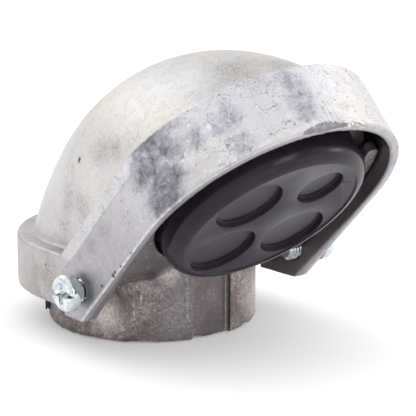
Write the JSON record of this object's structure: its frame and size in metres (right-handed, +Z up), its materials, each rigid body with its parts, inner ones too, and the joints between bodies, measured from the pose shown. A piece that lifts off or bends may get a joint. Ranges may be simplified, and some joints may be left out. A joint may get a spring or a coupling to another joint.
{
  "type": "service entrance weatherhead",
  "caption": "Die-cast slip-on weatherhead: a screwed-on hood over a round hub, with a black knockout insulator in its slanted mouth.",
  "frame": {"origin": "centre of the hub's bottom face, on the conduit bore's axis", "axes": "+Z up along the conduit bore; -Y forwards to the slanted mouth, which faces forwards and down; X across, along the cover screws"},
  "size_m": [0.0868, 0.1108, 0.0756],
  "materials": {
    "hood_metal": "bright die cast, unpainted, lightly pitted",
    "body_metal": "dull die cast, unpainted",
    "insulator_plastic": "satin black moulding",
    "zinc_screw": "bright zinc plate",
    "black_screw": "dark oxide"
  },
  "bodies": {
    "housing": {"hood": "hood_metal", "body": "body_metal", "insulator": "insulator_plastic"},
    "cover_screw_left": {"cover_screw_left": "zinc_screw"},
    "cover_screw_right": {"cover_screw_right": "zinc_screw"},
    "set_screw_left": {"set_screw_left": "black_screw"},
    "set_screw_right": {"set_screw_right": "black_screw"}
  },
  "joints": [
    {"name": "cover_screw_left_travel", "type": "slide", "parent": "housing", "child": "cover_screw_left", "axis": [-1, 0, 0], "range_m": [-0.0018, 0.0067]},
    {"name": "cover_screw_right_travel", "type": "slide", "parent": "housing", "child": "cover_screw_right", "axis": [1, 0, 0], "range_m": [-0.0036, 0.0049]},
    {"name": "set_screw_left_travel", "type": "slide", "parent": "housing", "child": "set_screw_left", "axis": [-0.848, 0.5299, 0], "range_m": [-0.0005, 0.004]},
    {"name": "set_screw_right_travel", "type": "slide", "parent": "housing", "child": "set_screw_right", "axis": [0.848, 0.5299, 0], "range_m": [-0.0005, 0.004]}
  ]
}
